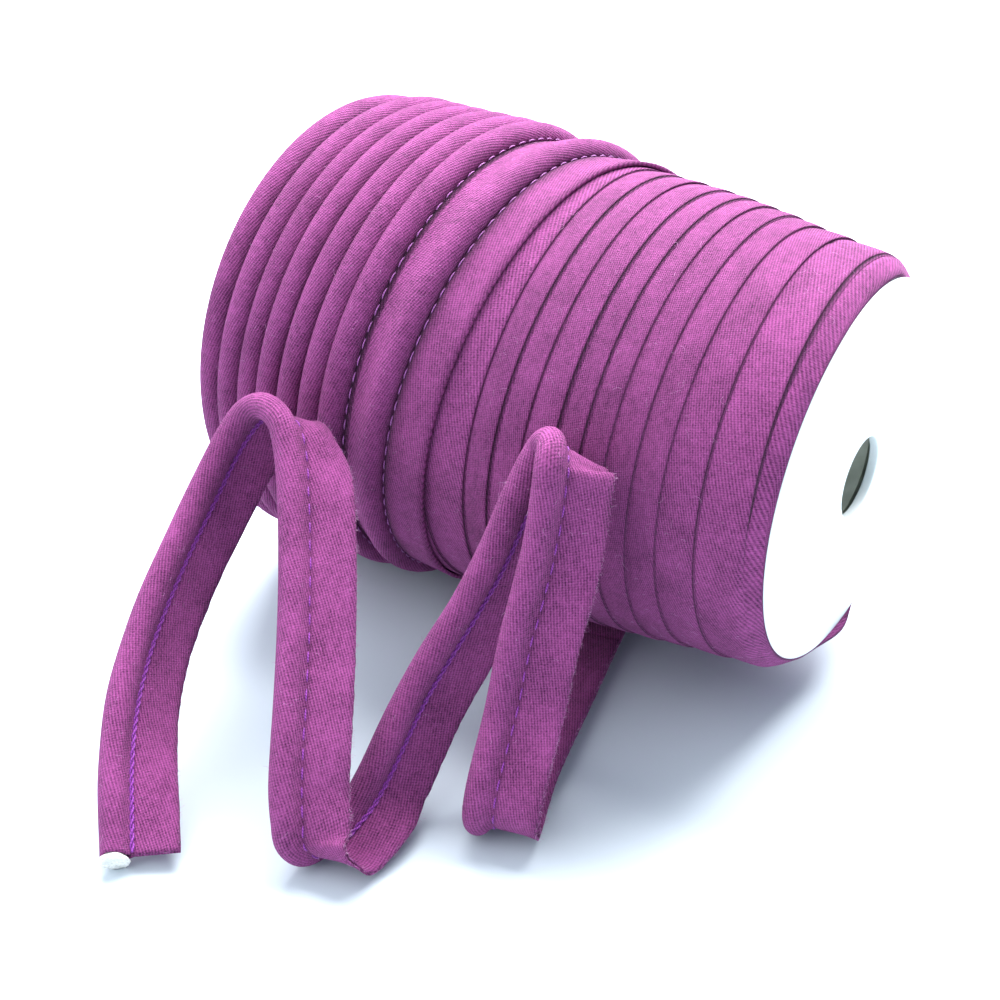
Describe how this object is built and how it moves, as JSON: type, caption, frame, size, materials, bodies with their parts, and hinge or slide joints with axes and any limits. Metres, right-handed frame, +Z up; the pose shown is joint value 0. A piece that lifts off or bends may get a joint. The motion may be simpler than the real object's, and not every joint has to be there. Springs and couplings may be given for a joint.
{
  "type": "roll of piping trim",
  "caption": "Roll of cloth-covered piping cord wound in shingled turns on a white reel with end discs and an open bore, its loose end standing in curls in front.",
  "frame": {"origin": "on the surface under the middle of the roll, halfway between the outer faces of the two end discs", "axes": "+X along the roll's axis towards the end disc that shows, -Y towards the viewer and the loose end, +Z up"},
  "size_m": [0.0998, 0.1365, 0.0792],
  "materials": {
    "cloth": "matt cotton twill, dyed magenta purple",
    "filler": "undyed white cotton cord",
    "reel": "smooth white"
  },
  "bodies": {
    "root": {"winding": "cloth", "tape_tail": "cloth", "filler_cord": "filler", "end_disc_near": "reel", "end_disc_far": "reel", "core_tube": "reel"}
  },
  "joints": []
}
